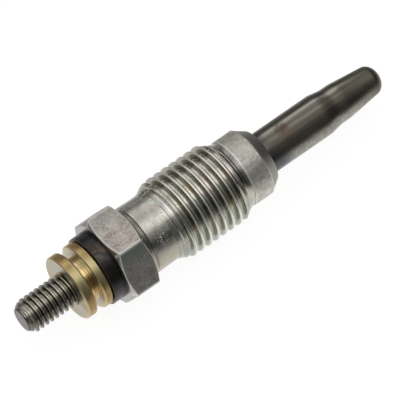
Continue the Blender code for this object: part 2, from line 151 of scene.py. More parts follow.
# Shell: collar, cone and bores
COLLAR_RADIUS = 0.00497
COLLAR_LENGTH = 0.00319
COLLAR_ROUND = 0.00040
COLLAR_FRONT_ROUND = 0.00016
CONE_END_RADIUS = 0.00385
CONE_END_ROUND = 0.00006
CONE_MOUTH_ROUND = 0.00004
COUNTERBORE = 0.00360
SHELL_BORE = 0.00260
HEX_BACK = HEX_FRONT + HEX_LENGTH
THREAD_START = HEX_BACK + NECK_LENGTH
THREAD_END = THREAD_START + THREAD_LENGTH
COLLAR_END = THREAD_END + COLLAR_LENGTH

# Heater tube
TUBE_RADIUS = 0.00300
TUBE_WALL = 0.00060
TAPER_LEAD = 0.00060
TAPER_LENGTH = 0.00180
TAPER_RADIUS = 0.00268
TAPER_ROUND = 0.00040
TIP_LENGTH = 0.00800
TIP_PARALLEL = 0.00150
TIP_ROUND = 0.00050
TIP_RADIUS = 0.00211
TIP_DOME = 0.00160
FLOOR_ROUND = 0.00070

# Thread form as shares of the pitch, the rounding of its ridges, and the part-filled crests of its ends
THREAD_DEPTH = 0.6134
CREST_FLAT = 0.18
ROOT_FLAT = 0.30
THREAD_SOFTNESS = 0.35
RIDGE_ROUND = 0.00003
LIP_REACH = 0.00010
LIP_RISE = 0.00006
UNFILLED_SEAM = 0.00009
UNFILLED_REACH = 0.00050
SEAM_START = 0.00040

# Wear: how wide and how strong
CORNER_WEAR = 0.00015
CORNER_RISE = 0.00005
EDGE_WEAR = 0.00012
RELIEF_WEAR = 0.4
LIP_WEAR = 0.8

# Grid: columns, rows, and how far a section's or surface's last row stays short of the next first row
HEX_CORNER = math.pi / 6
CORNER_COLUMNS = 16
CROWDING = 2.2
ROUND_COLUMNS = 128
ROUND_ROWS = 6
DOME_ROWS = 14
THREAD_ROWS = 30
STUD_THREAD_ROWS = 20
ROW_STEP = 0.00002
FOOT_STEP = 0.00004
SHELL_STEP = 0.00010
SHELL_JOIN = 0.00050
NUT_JOIN = 0.00020
WASHER_JOIN = 0.00030
TUBE_JOIN = 0.00600

# Painted light and shade, and one roughness of the thread, that change round the plug: shares by angle,
# 0 level towards the camera and 90 at the top, in the order hexagon, neck, thread, stud, nut, washer and
# tube
HEX_SHADE_SIDE = [
    (-180, 0.7), (20, 0.4), (40, 0.5), (46, 0.8), (50, 1), (57, 1), (61, 0), (92, 0), (114, 0.45),
    (130, 0.3), (180, 0),
]
CHAMFER_SHADE_SIDE = [(-180, 0), (52, 0), (66, 0.6), (110, 0.6), (130, 0), (180, 0)]
UNDERSIDE_SHADE_SIDE = [(-180, 0.4), (-20, 0.5), (0, 0.8), (14, 0.8), (30, 0.1), (44, 0), (180, 0.2)]
DARK_REFLECTION_SIDE = [(-180, 0), (35, 0), (39, 1), (45, 1), (50, 0), (180, 0)]
SHADED_SIDE = [
    (-180, 0.3), (-20, 0.3), (0, 0), (58, 0), (69, 1), (78, 0.95), (90, 0.5), (96, 0), (104, 0),
    (112, 0.4), (180, 0.3),
]
THREAD_SHADE_SIDE = [
    (-180, 0.2), (-20, 0.7), (4, 0.75), (14, 0.5), (22, 0.25), (30, 0.2), (38, 0.6), (46, 0.8),
    (54, 0.1), (63, 0.4), (70, 0), (110, 0), (130, 0.3), (180, 0.2),
]
LEAD_HIGHLIGHT_SIDE = [
    (-180, 0), (20, 0), (40, 0.3), (56, 0.55), (90, 0.55), (100, 0.1), (116, 0), (180, 0),
]
CLOUDED_SIDE = [(-180, 0), (91, 0), (96, 0.55), (102, 0.55), (108, 0), (180, 0)]
STUD_SHADE_SIDE = [(-180, 0.9), (30, 0.9), (44, 0.2), (60, 0), (84, 0), (104, 0.5), (180, 0.8)]
BRASS_HIGHLIGHT_SIDE = [
    (-180, 0), (26, 0), (48, 0.8), (62, 1), (78, 0.8), (92, 0.1), (104, 0), (180, 0),
]
BRASS_SHADE_SIDE = [
    (-180, 0.2), (-30, 0.2), (-8, 0.3), (0, 0.7), (8, 0.7), (20, 0.6), (30, 0.3), (45, 0), (180, 0),
]
WAIST_SHADE_SIDE = [
    (-180, 0.2), (-40, 0.3), (0, 0.1), (12, 0.2), (24, 0.5), (36, 0.5), (46, 0.8), (54, 0.5),
    (62, 0), (100, 0.1), (116, 0.25), (130, 0.7), (180, 0.3),
]
WASHER_SHEEN_SIDE = [
    (-180, 0.2), (-20, 0.5), (0, 0.15), (30, 0), (64, 0.1), (76, 1), (84, 0.8), (96, 0.2), (106, 0),
    (180, 0.1),
]
FLOOR_REFLECTION_SIDE = [(-180, 0.1), (-30, 0.4), (-6, 0.5), (6, 0.25), (14, 0), (180, 0)]
SHEATH_LIGHT_SIDE = [
    (-180, 0.1), (0, 0.22), (22, 0.22), (32, 0), (97, 0), (102, 0.33), (107, 0.33), (111, 0),
    (180, 0.1),
]
MOTTLED_SHADE_SIDE = [
    (-180, 0.2), (-40, 0.3), (-10, 0.45), (6, 0.6), (22, 0.6), (36, 0.2), (60, 0.1), (180, 0.1),
]
SHEATH_SHADE_SIDE = [
    (-180, 0), (0, 0), (14, 0), (28, 0.4), (40, 0.5), (50, 0.4), (60, 0.75), (70, 0.95), (76, 0.8),
    (81, 0.4), (86, 0.55), (92, 0.5), (98, 0.1), (106, 0), (118, 0.7), (150, 0.3), (180, 0),
]

# Finishes, and painted light and shade, that fade along the plug: the distances from a place at which
# their share is 0 and 1
LEAD_HIGHLIGHT_FADE_IN = (0.00045, 0.00085)
LEAD_HIGHLIGHT_FADE_OUT = (0.00210, 0.00130)
STUD_FACE_FADE = (0.00004, 0.00022)
STUD_START_FADE = (0.0014, 0.0010)
NUT_FACE_FADE = (0.0010, 0.0020)
SHELL_SHADE_FADE = (0.0014, 0.0002)
TIP_FADE = (-0.0060, -0.0015)

# A face's lean that makes it an end face, from none of it to all, and the drift of tool rings in a radian
END_LEAN = (0.85, 0.98)
RING_DRIFT = 0.6

# Small marks of use and tints, and a painted highlight (the gleam): place along the axis, angle round it,
# half length, and half spread in degrees
SCUFFS = (-0.0090, 46.0, 0.0011, 15.0)
RED_TINT = (0.0136, 84.0, 0.0012, 36.0)
BLUE_TINT = (0.0112, 10.0, 0.0022, 42.0)
GLEAM = (0.0222, 103.0, 0.0016, 14.0)

# Camera and photograph
VIEW_TILT = math.radians(16.9)
VIEW_RISE = math.radians(62.0)
PICTURE_TURN = math.radians(34.62)
PICTURE_WIDTH = 400
PIXEL = 0.001 / 7.61
PLUG_MIDDLE = (200.93, 196.61)
CAMERA_DISTANCE = 1.0
CLIP_START = 0.05
SENSOR = 36.0

# Light: how bright the sky is by angle and by lean, and the floor by distance from the plug's axis
SKY_AROUND = [
    (-180, 0.50), (-60, 0.66), (-25, 0.52), (-12, 0.50), (-5, 0.22), (4, 0.11), (20, 0.15),
    (36, 0.16), (47, 0.18), (60, 0.40), (68, 0.94), (74, 1.15), (84, 1.20), (98, 0.96), (110, 0.66),
    (122, 0.68), (132, 0.84), (146, 0.80), (158, 0.32), (176, 0.15), (180, 0.15),
]
SKY_ALONG = [
    (-1, 0.08), (-0.94, 0.20), (-0.8, 0.70), (-0.25, 1.0), (0.34, 1.0), (0.48, 0.60), (0.62, 0.46),
    (0.78, 0.14), (1, 0.07),
]
FLOOR_RADIUS = 0.09
FLOOR_CORNERS = 96
FLOOR_DIMMING = [(0, 0.80), (0.012, 0.72), (0.034, 0.30), (0.06, 0.08), (0.09, 0)]
BEHIND_FACTOR = 1.4
FLOOR_GLOW = 0.92
FLOOR_ALBEDO = 0.20


def corner_columns():
    """Angles round the shell: off each corner, 30 degrees times an even share to the power CROWDING."""
    step = np.arange(-CORNER_COLUMNS, CORNER_COLUMNS) / CORNER_COLUMNS
    away = np.sign(step) * np.abs(step) ** CROWDING * HEX_CORNER
    corners = HEX_CORNER * (1 + 2 * np.arange(6))
    return (corners[:, None] + away[None, :]).ravel()


def even_columns():
    """Angles round a turned piece, evenly spaced."""
    return np.arange(ROUND_COLUMNS) * 2 * np.pi / ROUND_COLUMNS


def towards(start, end):
    """Unit vector from start to end, column by column."""
    step = end - start
    return step / np.linalg.norm(step, axis=0)


def outline(corners, around):
    """Rows of an outline through corners given as (x, radius, rounding, rows).

    A corner is the parabola (1-t)^2 a + 2t(1-t) corner + t^2 b, with a and b its rounding away along
    the two runs. The run that follows is divided by that many rows, closer together at its ends.
    x and radius are one value, or one for each column. The third grid is the wear: 1 on a rounded
    corner and 0 between.
    """
    spots = [np.stack(np.broadcast_arrays(x, radius, around)[:2]) for x, radius, _, _ in corners]
    last = len(corners) - 1
    pieces = []
    wear = []
    for number, (_, _, rounding, rows) in enumerate(corners):
        spot = spots[number]
        leave = spot
        if rounding and 0 < number < last:
            arrive = spot + rounding * towards(spot, spots[number - 1])
            leave = spot + rounding * towards(spot, spots[number + 1])
            t = np.linspace(0, 1, ROUND_ROWS)[:, None, None]
            pieces.append((1 - t) ** 2 * arrive + 2 * t * (1 - t) * spot + t**2 * leave)
        else:
            pieces.append(spot[None])
        wear.append(np.full(len(pieces[-1]), float(rounding > 0)))
        if number < last and rows:
            reach = spots[number + 1]
            if corners[number + 1][2] and number + 1 < last:
                reach = reach + corners[number + 1][2] * towards(reach, spot)
            t = (1 - np.cos(np.pi * np.arange(1, rows + 1) / (rows + 1)))[:, None, None] / 2
            pieces.append(leave + t * (reach - leave))
            wear.append(np.zeros(rows))
    grid = np.concatenate(pieces)
    return grid[:, 0], grid[:, 1], np.concatenate(wear)[:, None] + 0 * around


def thread(x, around, crest, pitch, start, seam_depth):
    """Radius of a right-handed rolled thread, how near its crest each point is, and the crest's seam.

    The phase (x - start) / pitch + angle / turn - 1/2 is whole in the middle of the groove. The flank
    rises evenly from the root flat to the crest flat, eased by a share of the smooth step 3f^2 - 2f^3.
    Along the crest runs a shallow seam, 1 - (d / half the crest flat)^2 times its depth, d away from
    the crest's middle.
    """
    phase = (x - start) / pitch + around / (2 * np.pi) - 0.5
    off = np.abs(phase - np.round(phase))
    flank = np.clip((off - ROOT_FLAT / 2) * 2 / (1 - ROOT_FLAT - CREST_FLAT), 0, 1)
    rise = flank + THREAD_SOFTNESS * (flank**2 * (3 - 2 * flank) - flank)
    seam = np.maximum(1 - ((0.5 - off) * 2 / CREST_FLAT) ** 2, 0)
    return crest - THREAD_DEPTH * pitch * (1 - rise) - seam_depth * seam, flank**6, seam


def threaded_rows(blank, around, crest, pitch, phase_start, density, seam_depth):
    """Rows of a turned blank, given as (x, radius) points, with a thread in it: density to a pitch.

    The radius is the smaller of the blank's and the thread's. Where the two meet it is lowered by
    h^2 / 4 RIDGE_ROUND to round the ridge, with h = RIDGE_ROUND - |difference|. Where the blank is
    lower than the crest, the thread is part filled by a share u = (crest - blank) / UNFILLED_REACH.
    The blank is lowered there by UNFILLED_SEAM times u and the seam's form, in full once it has risen
    by SEAM_START, and a lip LIP_RISE (3b^2 - 2b^3) high stands beside the groove, with b falling from
    u to 0 over LIP_REACH. Crests, ridges and lips are worn.
    """
    heights, radii = zip(*blank)
    count = int(round((heights[-1] - heights[0]) / pitch * density))
    x = np.linspace(heights[0], heights[-1], count)[:, None] + 0 * around
    radius, wear, seam = thread(x, around, crest, pitch, phase_start, seam_depth)
    turned = np.interp(x, heights, radii)
    unfilled = np.clip((crest - turned) / UNFILLED_REACH, 0, 1)
    started = np.clip((turned - radii[0]) / SEAM_START, 0, 1)
    turned = turned - UNFILLED_SEAM * seam * unfilled * started
    near = np.maximum(RIDGE_ROUND - np.abs(turned - radius), 0)
    wear = np.maximum(wear * (turned >= radius), near / RIDGE_ROUND)
    bank = np.clip(1 - np.abs(turned - radius) / LIP_REACH, 0, 1) * unfilled
    lip = LIP_RISE * bank**2 * (3 - 2 * bank)
    wear = np.maximum(wear, LIP_WEAR * bank)
    return x, np.minimum(turned, radius) - near**2 / (4 * RIDGE_ROUND) + lip, wear


def round_mesh(name, sections, around):
    """Closed surface from rows and columns, at (x, radius sin(angle), axis height + radius cos(angle)).

    sections are (x, radius, wear, slot) that follow one another, and slot is their finish. Where the
    first and last rows have no radius they close in poles, and otherwise the last joins the first.
    """
    x, radius, wear = (np.concatenate([section[part] for section in sections]) for part in range(3))
    slots = np.concatenate([np.full(len(section[0]), section[3]) for section in sections])
    points = np.stack([x, radius * np.sin(around), AXIS + radius * np.cos(around)], -1)
    rows, columns = x.shape
    poled = radius[0].max() == 0
    column = np.arange(columns)
    beside = (column + 1) % columns
    first = np.arange(1, rows - 2) if poled else np.arange(rows)
    second = (first + 1) % rows
    corners = [(first, column), (second, column), (second, beside), (first, beside)]
    quads = np.stack([r[:, None] * columns + c[None, :] for r, c in corners], -1).reshape(-1, 4)
    faces = [quads]
    finish = [np.repeat(slots[first], columns)]
    if poled:
        faces.append(np.stack([0 * column, columns + column, columns + beside], -1))
        faces.append(np.stack([(rows - 2) * columns + column, 0 * column + (rows - 1) * columns,
                               (rows - 2) * columns + beside], -1))
        finish += [np.full(columns, slots[0]), np.full(columns, slots[-1])]
    return surface(name, points.reshape(-1, 3), faces, np.concatenate(finish), wear.ravel())


def surface(name, points, faces, finish, wear):
    """A smooth mesh object from arrays of points, equal-sided faces, their finishes and the wear."""
    loops = np.concatenate([block.ravel() for block in faces])
    sides = np.concatenate([np.full(len(block), block.shape[1]) for block in faces])
    used, loops = np.unique(loops, return_inverse=True)
    mesh = bpy.data.meshes.new(name)
    mesh.vertices.add(len(used))
    mesh.vertices.foreach_set("co", points[used].ravel())
    mesh.loops.add(len(loops))
    mesh.loops.foreach_set("vertex_index", loops.ravel())
    mesh.polygons.add(len(sides))
    mesh.polygons.foreach_set("loop_start", np.cumsum(sides) - sides)
    mesh.polygons.foreach_set("material_index", finish)
    mesh.polygons.foreach_set("use_smooth", np.ones(len(sides), bool))
    mesh.attributes.new("wear", "FLOAT", "POINT").data.foreach_set("value", wear[used])
    mesh.update(calc_edges=True)
    piece = bpy.data.objects.new(name, mesh)
    bpy.context.scene.collection.objects.link(piece)
    return piece


def hexagon(around):
    """Distance from the axis to the hexagon's side: half its width over the cosine of the angle.

    Near a corner it is the far side of the rounding circle, c cos(a) + sqrt(r^2 - c^2 sin^2(a)), with
    c from the axis to the circle's centre, r the circle's radius and a the angle from the corner.
    """
    angle = np.abs((around + HEX_CORNER) % (2 * HEX_CORNER) - HEX_CORNER)
    side = HALF_WIDTH / np.cos(angle)
    rounding = HEX_EDGE / math.tan(HEX_CORNER)
    centre = (HALF_WIDTH - rounding) / math.cos(HEX_CORNER)
    off = HEX_CORNER - angle
    arc = centre * np.cos(off) + np.sqrt(np.maximum(rounding**2 - (centre * np.sin(off)) ** 2, 0))
    near = HALF_WIDTH * (math.tan(HEX_CORNER) - np.tan(angle)) < HEX_EDGE
    return np.where(near, arc, side)


def plug_shell():
    """Hexagon, neck, thread, collar and cone as one turned outline, and the stepped bore behind them.

    The hexagon's chamfers are cones, so they meet its side at a place along the axis that moves by
    (side - radius of the face) times the chamfer's slope. Its corners, the front edge of its flats and
    the relief before the collar are worn.
    """
    around = corner_columns()
    side = hexagon(around)
    hex_face = HEX_FRONT + BOSS_HEIGHT
    chamfer_end = hex_face + (side - HEX_FRONT_RADIUS) * HEX_SLOPE
    foot_radius = FOOT_RADIUS + FOOT_RISE
    face = outline([
        (HEX_FRONT, COUNTERBORE + SHELL_JOIN + SHELL_STEP, 0, 6),
        (HEX_FRONT, BOSS_RADIUS, BOSS_ROUND, 2),
        (hex_face, BOSS_RADIUS, 0, 6),
        (hex_face, HEX_FRONT_RADIUS, 0, 2),
        (chamfer_end, side, HEX_FRONT_ROUND, 10),
        (HEX_BACK - (side - HEX_BACK_RADIUS) * HEX_SLOPE, side, HEX_BACK_ROUND, 2),
        (HEX_BACK, HEX_BACK_RADIUS, HEX_BACK_EDGE, 5),
        (HEX_BACK, foot_radius + FOOT_STEP, 0, 0),
    ], around)
    corner = np.abs(around % (2 * HEX_CORNER) - HEX_CORNER) * HALF_WIDTH < CORNER_WEAR
    face[2][:] = np.maximum(face[2], corner * (face[1] > HALF_WIDTH + CORNER_RISE))
    face[2][:] = np.maximum(face[2], np.abs(face[0] - chamfer_end - EDGE_WEAR / 2) < EDGE_WEAR / 2)
    neck = outline([
        (HEX_BACK, foot_radius, 0, 6),
        (HEX_BACK + FOOT_BAND, FOOT_RADIUS + FOOT_RISE / 2, FOOT_BAND_ROUND, 2),
        (HEX_BACK + FOOT_BAND + FOOT_FLAT, FOOT_RADIUS + FOOT_RISE / 2, FOOT_BAND_ROUND, 6),
        (HEX_BACK + FOOT_END - (NECK_START_RADIUS - FOOT_RADIUS), FOOT_RADIUS, FOOT_ROUND, 4),
        (HEX_BACK + FOOT_END, NECK_START_RADIUS, NECK_START_ROUND, 8),
        (HEX_BACK + FOOT_END + NECK_TAPER_LENGTH, NECK_RADIUS, NECK_TAPER_ROUND, 8),
        (THREAD_START - PITCH / THREAD_ROWS, NECK_RADIUS, 0, 0),
    ], around)
    blank = [
        (THREAD_START, NECK_RADIUS),
        (THREAD_START + LEAD_START, LEAD_START_RADIUS),
        (THREAD_START + LEAD_LENGTH, CREST),
        (THREAD_END - TAIL_LENGTH, CREST),
        *((THREAD_END - TAIL_LENGTH * left, RELIEF_RADIUS + height) for left, height in TAIL_CURVE),
    ]
    threaded = threaded_rows(
        blank, around, CREST, PITCH, THREAD_START + THREAD_OFFSET, THREAD_ROWS, SEAM_DEPTH
    )
    relief = np.clip((threaded[0] - THREAD_END) / RELIEF_LENGTH + 1, 0, 1)
    threaded[2][:] = np.maximum(threaded[2], RELIEF_WEAR * relief**0.5)
    collar = outline([
        (THREAD_END + PITCH / THREAD_ROWS, RELIEF_RADIUS + PITCH / THREAD_ROWS, 0, 0),
        (THREAD_END + COLLAR_RADIUS - RELIEF_RADIUS, COLLAR_RADIUS, COLLAR_FRONT_ROUND, 8),
        (COLLAR_END - COLLAR_ROUND / 2, COLLAR_RADIUS, COLLAR_ROUND, 0),
    ], around)
    cone = outline([
        (COLLAR_END, COLLAR_RADIUS - COLLAR_ROUND / 2, 0, 6),
        (SHELL_END, CONE_END_RADIUS, CONE_END_ROUND, 4),
        (SHELL_END, TUBE_RADIUS + GAP, CONE_MOUTH_ROUND, 6),
        (TUBE_MOUTH - GAP, TUBE_RADIUS + GAP, 0, 1),
        (TUBE_MOUTH - GAP, SHELL_BORE, 0, 6),
        (SEAL_END + GAP, SHELL_BORE, 0, 2),
        (SEAL_END + GAP, COUNTERBORE, 0, 5),
        (HEX_FRONT, COUNTERBORE, 0, 2),
        (HEX_FRONT, COUNTERBORE + SHELL_JOIN, 0, 0),
    ], around)
    sections = [(*face, 0), (*neck, 1), (*threaded, 2), (*collar, 3), (*cone, 4)]
    piece = round_mesh("shell_surface", sections, around)
    dress(piece, "plug_shell", [
        hexagon_steel(), neck_steel(), thread_steel(), collar_steel(), cone_steel()
    ])


def terminal_stud():
    """Threaded terminal with its chamfered end, and the rod and the pin that run on inside."""
    around = even_columns()
    root = STUD_CREST - THREAD_DEPTH * STUD_PITCH
    end = outline([
        (STUD_END, 0, 0, 4),
        (STUD_END, STUD_END_RADIUS, STUD_END_ROUND, 0),
        (STUD_END + STUD_END_LENGTH, STUD_END_RADIUS + STUD_END_RISE, 0, 0),
    ], around)
    slope = (STUD_CREST - STUD_END_RADIUS) / STUD_CHAMFER
    blank = [
        (STUD_END + STUD_THREAD_START, STUD_END_RADIUS + STUD_THREAD_START * slope),
        (STUD_END + STUD_CHAMFER, STUD_CREST),
        (NUT_FRONT + STUD_ENTRY, STUD_CREST),
    ]
    threaded = threaded_rows(
        blank, around, STUD_CREST, STUD_PITCH, STUD_END + STUD_THREAD_OFFSET, STUD_THREAD_ROWS,
        STUD_SEAM_DEPTH
    )
    pin_start = TUBE_MOUTH - SHOULDER
    rod = outline([
        (NUT_FRONT + STUD_ENTRY + ROW_STEP, root, 0, 1),
        (NUT_BACK, root, 0, 1),
        (NUT_BACK, ROD_RADIUS, 0, 6),
        (pin_start - (ROD_RADIUS - PIN_RADIUS), ROD_RADIUS, 0, 2),
        (pin_start, PIN_RADIUS, 0, 6),
        (PIN_END, PIN_RADIUS, 0, 2),
        (PIN_END, 0, 0, 0),
    ], around)
    piece = round_mesh("stud_surface", [(*end, 0), (*threaded, 0), (*rod, 0)], around)
    dress(piece, "terminal_stud", [stud_steel()])


def round_nut():
    """Brass spool: two flanges with broken edges, and a waist with small fillets and one tool line."""
    around = even_columns()
    bore = STUD_CREST - THREAD_DEPTH * STUD_PITCH + GAP
    front_back = NUT_FRONT + NUT_FRONT_THICKNESS
    rear_front = NUT_BACK - NUT_REAR_THICKNESS
    countersink_end = NUT_FRONT + NUT_COUNTERSINK - bore
    line_middle = front_back + TOOL_LINE
    front = outline([
        (countersink_end, bore, 0, 3),
        (NUT_FRONT, NUT_COUNTERSINK, NUT_COUNTERSINK_ROUND, 8),
        (NUT_FRONT, NUT_FLANGE - NUT_EDGE, NUT_EDGE_ROUND, 0),
        (NUT_FRONT + NUT_EDGE, NUT_FLANGE, NUT_EDGE_ROUND, 8),
        (front_back - NUT_EDGE, NUT_FLANGE, NUT_EDGE_ROUND, 0),
        (front_back, NUT_FLANGE - NUT_EDGE, NUT_EDGE_ROUND, 8),
        (front_back, NUT_WAIST + NUT_FILLET + ROW_STEP, 0, 0),
    ], around)
    waist = outline([
        (front_back, NUT_WAIST + NUT_FILLET, 0, 1),
        (front_back, NUT_WAIST, NUT_FILLET_ROUND, 3),
        (line_middle - TOOL_LINE_WIDTH, NUT_WAIST, TOOL_LINE_ROUND, 0),
        (line_middle, NUT_WAIST - TOOL_LINE_DEPTH, TOOL_LINE_ROUND, 0),
        (line_middle + TOOL_LINE_WIDTH, NUT_WAIST, TOOL_LINE_ROUND, 6),
        (rear_front, NUT_WAIST, NUT_FILLET_ROUND, 1),
        (rear_front, NUT_WAIST + NUT_FILLET, 0, 0),
    ], around)
    rear = outline([
        (rear_front, NUT_WAIST + NUT_FILLET + ROW_STEP, 0, 7),
        (rear_front, NUT_REAR_FLANGE - NUT_EDGE, NUT_EDGE_ROUND, 0),
        (rear_front + NUT_EDGE, NUT_REAR_FLANGE, NUT_EDGE_ROUND, 8),
        (NUT_BACK - NUT_EDGE, NUT_REAR_FLANGE, NUT_EDGE_ROUND, 0),
        (NUT_BACK, NUT_REAR_FLANGE - NUT_EDGE, NUT_EDGE_ROUND, 6),
        (NUT_BACK, bore, 0, 10),
        (countersink_end + NUT_JOIN, bore, 0, 0),
    ], around)
    piece = round_mesh("nut_surface", [(*front, 0), (*waist, 1), (*rear, 0)], around)
    dress(piece, "round_nut", [flange_brass(), waist_brass()])


def insulating_washer():
    """Black moulded ring with a soft front edge, a skirt over the boss, and a spigot for the bore."""
    around = even_columns()
    bore = ROD_RADIUS + GAP
    skirt = HEX_FRONT + BOSS_HEIGHT - GAP / 2
    seat = HEX_FRONT - GAP
    ring = outline([
        (WASHER_FRONT, bore, 0, 8),
        (WASHER_FRONT, WASHER_RADIUS, WASHER_EDGE, 12),
        (skirt, WASHER_RADIUS, 0, 1),
        (skirt, BOSS_RADIUS + GAP, 0, 2),
        (seat, BOSS_RADIUS + GAP, 0, 5),
        (seat, SPIGOT_RADIUS, 0, 4),
        (SPIGOT_END, SPIGOT_RADIUS, 0, 2),
        (SPIGOT_END, bore, 0, 6),
        (WASHER_FRONT + WASHER_JOIN, bore, 0, 0),
    ], around)
    ring[2][:] = np.maximum(ring[2], ring[0] < WASHER_FRONT + WASHER_EDGE)
    piece = round_mesh("washer_surface", [(*ring, 0)], around)
    dress(piece, "insulating_washer", [black_moulding()])


def nose(inset, end, dome, around):
    """Rows of the tube's swaged nose, moved in by inset, and of the quarter ellipse of its end.

    The ellipse has its places at end - dome + dome sin(t) and its radii at (tip radius) cos(t).
    """
    tip_start = TIP - TIP_LENGTH
    t = np.linspace(0, np.pi / 2, DOME_ROWS)[:, None] + 0 * around
    side = outline([
        (tip_start - TAPER_LENGTH - TAPER_LEAD, TUBE_RADIUS - inset, 0, 3),
        (tip_start - TAPER_LENGTH, TUBE_RADIUS - inset, TAPER_ROUND, 4),
        (tip_start, TAPER_RADIUS - inset, TAPER_ROUND, 4),
        (tip_start + TIP_PARALLEL, TAPER_RADIUS - inset, TIP_ROUND, 14),
        (end - dome, TIP_RADIUS - inset, 0, 0),
    ], around)
    ball = np.stack([end - dome + dome * np.sin(t), (TIP_RADIUS - inset) * np.cos(t), 0 * t])
    ball[1][-1] = 0
    return [np.concatenate([first, second[1:]]) for first, second in zip(side, ball)]


def heater_tube():
    """Drawn tube with a swaged nose and a closed round tip, open at the pin's end."""
    around = even_columns()
    inside = nose(TUBE_WALL, TUBE_FLOOR, FLOOR_ROUND, around)
    outside = nose(0, TIP, TIP_DOME, around)
    mouth = outline([
        (TUBE_MOUTH + TUBE_JOIN, TUBE_RADIUS - TUBE_WALL, 0, 3),
        (TUBE_MOUTH, TUBE_RADIUS - TUBE_WALL, 0, 1),
        (TUBE_MOUTH, TUBE_RADIUS, 0, 6),
        (SHELL_END, TUBE_RADIUS, 0, 30),
        (TIP - TIP_LENGTH - TAPER_LENGTH - 2 * TAPER_LEAD, TUBE_RADIUS, 0, 0),
    ], around)
    sections = [(*(grid[::-1] for grid in inside), 0), (*mouth, 0), (*outside, 0)]
    piece = round_mesh("tube_surface", sections, around)
    dress(piece, "heater_tube", [heated_sheath()])


def dress(piece, node, finishes):
    """Let a surface stand for its solid, ride with the plug and carry its finishes."""
    for material in finishes:
        piece.data.materials.append(material)
    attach(piece, "root")
    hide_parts(node)


def colour(red, green, blue):
    """Linear colour from display values of 0 to 255."""
    shares = np.array([red, green, blue]) / 255
    linear = np.where(shares <= 0.04045, shares / 12.92, ((shares + 0.055) / 1.055) ** 2.4)
    return (*linear.tolist(), 1.0)


class Patterns:
    """Nodes of one tree, added one at a time."""

    def __init__(self, tree):
        self.tree = tree

    def node(self, kind, inputs, output=0, **settings):
        """Add a node with its settings, and give each input a value or another node's output."""
        made = self.tree.nodes.new(kind)
        for key, value in settings.items():
            setattr(made, key, value)
        for key, value in inputs.items():
            self.feed(made.inputs[key], value)
        return made.outputs[output]

    def feed(self, socket, value):
        """Link an output to an input, or set the input's own value."""
        if isinstance(value, bpy.types.NodeSocket):
            self.tree.links.new(value, socket)
        else:
            socket.default_value = value

    def ramp(self, value, stops):
        """A curve through stops given as (value, result), straight between them."""
        low, high = stops[0][0], stops[-1][0]
        top = max(result for _, result in stops)
        node = self.tree.nodes.new("ShaderNodeValToRGB")
        points = node.color_ramp.elements
        for _ in stops[2:]:
            points.new(0.5)
        for point, (place, result) in zip(points, stops):
            point.position = (place - low) / (high - low)
            point.color = (result / top, result / top, result / top, 1)
        self.feed(node.inputs["Fac"], self.spread(value, low, high))
        return self.maths("MULTIPLY", node.outputs["Color"], top)

    def maths(self, operation, first, second=0.0):
        """One sum of two values."""
        return self.node("ShaderNodeMath", {0: first, 1: second}, operation=operation)

    def both(self, first, second):
        """The product of two shares."""
        return self.maths("MULTIPLY", first, second)

    def parts(self, vector):
        """The X, Y and Z of a vector, by name."""
        split = self.tree.nodes.new("ShaderNodeSeparateXYZ")
        self.feed(split.inputs[0], vector)
        return split.outputs

    def spread(self, value, low, high, to_low=0.0, to_high=1.0):
        """A value moved from one range to another, held at both ends."""
        inputs = {"Value": value, "From Min": low, "From Max": high, "To Min": to_low, "To Max": to_high}
        return self.node("ShaderNodeMapRange", inputs, "Result")

    def blend(self, share, first, second):
        """A mix of two colours."""
        inputs = {0: share, 6: first, 7: second}
        return self.node("ShaderNodeMix", inputs, 2, data_type="RGBA")


